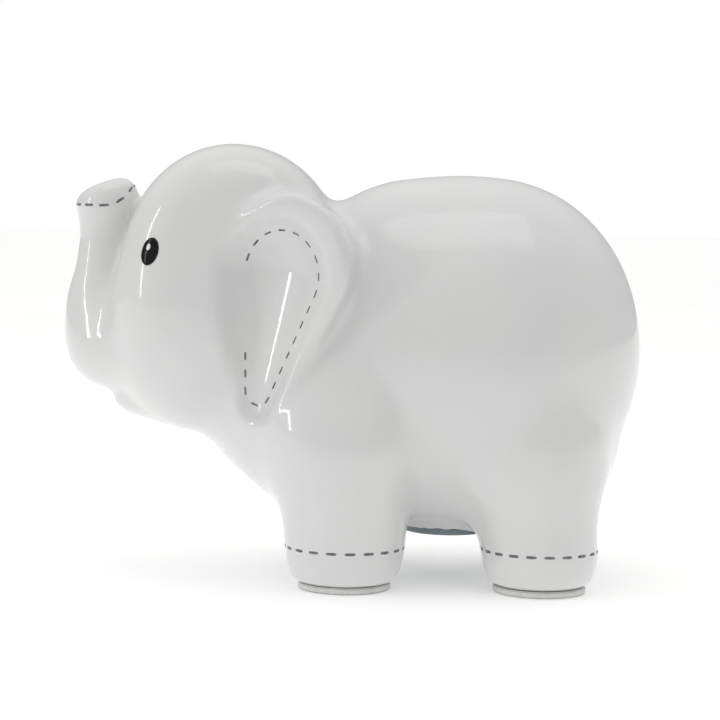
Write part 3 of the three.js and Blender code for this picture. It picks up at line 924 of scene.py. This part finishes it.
def build_pads():
    """Foam discs, a little squeezed so that their sides bulge."""
    foam = pad_material()
    outline = rounded(
        [
            (0, 0, 0),
            (PAD_RADIUS - PAD_BULGE, 0, 0.5),
            (PAD_RADIUS - 0.02, PAD_HEIGHT / 2, 1.0),
            (PAD_RADIUS - PAD_BULGE, PAD_HEIGHT, 0.4),
            (0, PAD_HEIGHT, 0),
        ]
    )
    points, faces = turned(outline)
    for end, leg_shape in (("front", FRONT_LEG), ("rear", REAR_LEG)):
        for side, y in (("left", -LEG_Y), ("right", LEG_Y)):
            moved = points + np.array([leg_shape["x"], y, 0], np.float32)
            obj = add_object(f"foam_pad_{end}_{side}", moved, faces, [foam])
            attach(obj, "bank")
            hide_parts(f"foot_pad_{end}_{side}")


# ---- Stage, light and camera ----
def build_floor():
    corners = [(x * FLOOR_HALF, y * FLOOR_HALF, 0) for x, y in ((-1, -1), (1, -1), (1, 1), (-1, 1))]
    mesh = bpy.data.meshes.new("floor")
    mesh.from_pydata(corners, [], [(0, 1, 2, 3)])
    floor = bpy.data.objects.new("floor", mesh)
    mesh.materials.append(floor_material())
    bpy.context.scene.collection.objects.link(floor)


def area_light(name, place, target, size, watts):
    """An oblong lamp at a place, turned towards its target."""
    data = bpy.data.lights.new(name, "AREA")
    data.shape = "RECTANGLE"
    data.size, data.size_y = size
    data.energy = watts
    light = bpy.data.objects.new(name, data)
    light.location = place
    aim = Vector(target) - Vector(place)
    light.rotation_euler = aim.to_track_quat("-Z", "Y").to_euler()
    bpy.context.scene.collection.objects.link(light)


def build_world():
    """A white room, brightest overhead and behind the object, with plain white as its backdrop."""
    world = bpy.data.worlds.new("studio")
    bpy.context.scene.world = world
    world.use_nodes = True
    nodes, links = world.node_tree.nodes, world.node_tree.links
    direction = nodes.new("ShaderNodeSeparateXYZ")
    links.new(nodes.new("ShaderNodeTexCoord").outputs["Generated"], direction.inputs["Vector"])

    strength = nodes.new("ShaderNodeMath")
    strength.operation = "MULTIPLY"
    upwards = graded(world.node_tree, direction.outputs["Z"], CEILING_SPAN, (ROOM_LIGHT, CEILING_LIGHT))
    backwards = graded(world.node_tree, direction.outputs["Y"], BACK_SPAN, (1.0, BACK_LIGHT))
    links.new(upwards, strength.inputs[0])
    links.new(backwards, strength.inputs[1])
    room = nodes["Background"]
    room.inputs["Color"].default_value = (1.0, 1.0, 0.99, 1)
    links.new(strength.outputs["Value"], room.inputs["Strength"])
    backdrop = nodes.new("ShaderNodeBackground")
    backdrop.inputs["Color"].default_value = (1, 1, 1, 1)
    choose = nodes.new("ShaderNodeMixShader")
    links.new(nodes.new("ShaderNodeLightPath").outputs["Is Camera Ray"], choose.inputs["Fac"])
    links.new(room.outputs["Background"], choose.inputs[1])
    links.new(backdrop.outputs["Background"], choose.inputs[2])
    links.new(choose.outputs["Shader"], nodes["World Output"].inputs["Surface"])


def build_lights():
    build_world()
    for name, lamp in LAMPS.items():
        area_light(name, **lamp)


def build_camera():
    """A little above the middle, looking almost squarely at the left side."""
    data = bpy.data.cameras.new("camera")
    data.sensor_width = 36
    data.lens = CAMERA["lens"]
    data.clip_start = 0.01
    camera = bpy.data.objects.new("camera", data)
    camera.location = CAMERA["place"]
    yaw, pitch, roll = (math.radians(CAMERA[name]) for name in ("yaw", "pitch", "roll"))
    turn = Matrix.Rotation(yaw, 4, "Z") @ Matrix.Rotation(math.pi / 2 + pitch, 4, "X")
    turn = turn @ Matrix.Rotation(roll, 4, "Z")
    camera.rotation_euler = turn.to_euler()
    bpy.context.scene.collection.objects.link(camera)
    bpy.context.scene.camera = camera


build_shell()
build_paint()
build_plug()
build_pads()
build_floor()
build_lights()
build_camera()
bpy.context.scene.view_settings.view_transform = "Standard"
